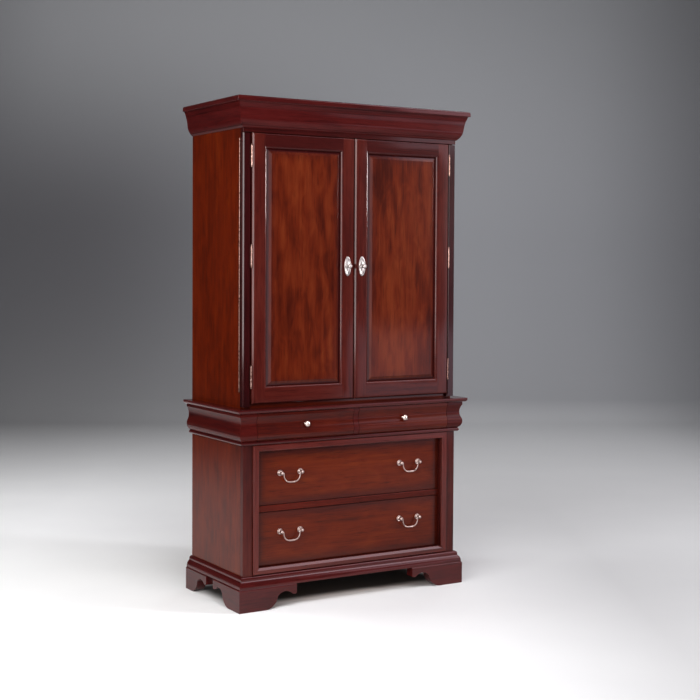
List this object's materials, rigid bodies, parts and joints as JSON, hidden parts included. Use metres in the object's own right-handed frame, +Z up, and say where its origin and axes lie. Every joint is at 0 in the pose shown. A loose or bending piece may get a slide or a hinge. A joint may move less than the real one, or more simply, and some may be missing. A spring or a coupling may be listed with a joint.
{
  "type": "computer armoire",
  "caption": "Two-stage cherry cabinet with fold-round panelled doors over frieze drawers and wide drawers, on scroll-cut bracket feet.",
  "frame": {"origin": "on the floor under the middle of the piece's bounding box", "axes": "+X to the right, the front faces -Y, +Z up"},
  "size_m": [1.058, 0.49, 1.93],
  "materials": {
    "case_cherry": "rubbed satin lacquer",
    "moulding_cherry": "rubbed satin lacquer, darker at the edges",
    "door_cherry": "rubbed satin lacquer",
    "panel_cherry": "rubbed satin lacquer",
    "drawer_cherry": "rubbed satin lacquer",
    "inner_wood": "clear sealed secondary wood",
    "back_panel": "thin plywood, sealed",
    "hinge_brass": "antiqued, satin",
    "pull_pewter": "antique pewter, satin",
    "knob_pewter": "pale pewter, satin",
    "slide_steel": "zinc plated",
    "catch_plastic": "moulded brown plastic"
  },
  "bodies": {
    "case": {"front_feet": "moulding_cherry", "rear_feet": "moulding_cherry", "base_moulding": "moulding_cherry", "left_lower_side": "case_cherry", "right_lower_side": "case_cherry", "lower_bottom": "inner_wood", "lower_back": "back_panel", "lower_face_frame": "drawer_cherry", "drawer_surround": "moulding_cherry", "drawer_rail": "moulding_cherry", "slide_rails": "slide_steel", "waist_deck": "inner_wood", "frieze_blocks": "moulding_cherry", "waist_bead": "moulding_cherry", "waist_plate": "moulding_cherry", "left_upper_side": "case_cherry", "right_upper_side": "case_cherry", "upper_bottom": "case_cherry", "upper_top": "case_cherry", "head_rail": "door_cherry", "upper_back": "back_panel", "shelf": "case_cherry", "shelf_pins": "hinge_brass", "top_board": "moulding_cherry", "crown_moulding": "moulding_cherry", "piano_case_leaves": "hinge_brass", "door_catches": "catch_plastic"},
    "left_pilaster": {"left_pilaster": "door_cherry", "left_piano_leaf": "hinge_brass", "left_pilaster_hinge_leaves": "hinge_brass"},
    "left_door": {"left_door_frame": "door_cherry", "left_door_panel": "panel_cherry", "left_door_hinge_leaves": "hinge_brass", "left_door_pull": "pull_pewter"},
    "left_frieze_drawer": {"left_frieze_drawer_front": "moulding_cherry", "left_frieze_drawer_box": "inner_wood", "left_frieze_knob": "knob_pewter"},
    "right_pilaster": {"right_pilaster": "door_cherry", "right_piano_leaf": "hinge_brass", "right_pilaster_hinge_leaves": "hinge_brass"},
    "right_door": {"right_door_frame": "door_cherry", "right_door_panel": "panel_cherry", "right_door_hinge_leaves": "hinge_brass", "right_door_pull": "pull_pewter"},
    "right_frieze_drawer": {"right_frieze_drawer_front": "moulding_cherry", "right_frieze_drawer_box": "inner_wood", "right_frieze_knob": "knob_pewter"},
    "upper_drawer": {"upper_drawer_front": "drawer_cherry", "upper_drawer_box": "inner_wood", "upper_pull_posts": "pull_pewter", "upper_slide_runners": "slide_steel"},
    "upper_slide": {"upper_slide_carriers": "slide_steel"},
    "upper_left_bail": {"upper_left_bail": "pull_pewter"},
    "upper_right_bail": {"upper_right_bail": "pull_pewter"},
    "lower_drawer": {"lower_drawer_front": "drawer_cherry", "lower_drawer_box": "inner_wood", "lower_pull_posts": "pull_pewter", "lower_slide_runners": "slide_steel"},
    "lower_slide": {"lower_slide_carriers": "slide_steel"},
    "lower_left_bail": {"lower_left_bail": "pull_pewter"},
    "lower_right_bail": {"lower_right_bail": "pull_pewter"}
  },
  "joints": [
    {"name": "left_pilaster_turn", "type": "hinge", "parent": "case", "child": "left_pilaster", "pos_m": [-0.488, -0.178, 1.3], "axis": [0, 0, -1], "range_deg": [0, 90]},
    {"name": "left_door_turn", "type": "hinge", "parent": "left_pilaster", "child": "left_door", "pos_m": [-0.4516, -0.2055, 1.3], "axis": [0, 0, -1], "range_deg": [0, 177]},
    {"name": "left_frieze_drawer_slide", "type": "slide", "parent": "case", "child": "left_frieze_drawer", "axis": [0, -1, 0], "range_m": [0, 0.3]},
    {"name": "right_pilaster_turn", "type": "hinge", "parent": "case", "child": "right_pilaster", "pos_m": [0.488, -0.178, 1.3], "axis": [0, 0, 1], "range_deg": [0, 90]},
    {"name": "right_door_turn", "type": "hinge", "parent": "right_pilaster", "child": "right_door", "pos_m": [0.4516, -0.2055, 1.3], "axis": [0, 0, 1], "range_deg": [0, 177]},
    {"name": "right_frieze_drawer_slide", "type": "slide", "parent": "case", "child": "right_frieze_drawer", "axis": [0, -1, 0], "range_m": [0, 0.3]},
    {"name": "upper_drawer_slide", "type": "slide", "parent": "case", "child": "upper_drawer", "axis": [0, -1, 0], "range_m": [0, 0.38]},
    {"name": "upper_slide_carry", "type": "slide", "parent": "case", "child": "upper_slide", "axis": [0, -1, 0], "range_m": [0, 0.19]},
    {"name": "upper_left_bail_swing", "type": "hinge", "parent": "upper_drawer", "child": "upper_left_bail", "pos_m": [-0.273, -0.204, 0.50901], "axis": [-1, 0, 0], "range_deg": [0, 90]},
    {"name": "upper_right_bail_swing", "type": "hinge", "parent": "upper_drawer", "child": "upper_right_bail", "pos_m": [0.273, -0.204, 0.50901], "axis": [-1, 0, 0], "range_deg": [0, 90]},
    {"name": "lower_drawer_slide", "type": "slide", "parent": "case", "child": "lower_drawer", "axis": [0, -1, 0], "range_m": [0, 0.38]},
    {"name": "lower_slide_carry", "type": "slide", "parent": "case", "child": "lower_slide", "axis": [0, -1, 0], "range_m": [0, 0.19]},
    {"name": "lower_left_bail_swing", "type": "hinge", "parent": "lower_drawer", "child": "lower_left_bail", "pos_m": [-0.273, -0.204, 0.28401], "axis": [-1, 0, 0], "range_deg": [0, 90]},
    {"name": "lower_right_bail_swing", "type": "hinge", "parent": "lower_drawer", "child": "lower_right_bail", "pos_m": [0.273, -0.204, 0.28401], "axis": [-1, 0, 0], "range_deg": [0, 90]}
  ],
  "couplings": [
    {"joint": "upper_slide_carry", "follows": "upper_drawer_slide", "ratio": 0.5},
    {"joint": "lower_slide_carry", "follows": "lower_drawer_slide", "ratio": 0.5}
  ]
}
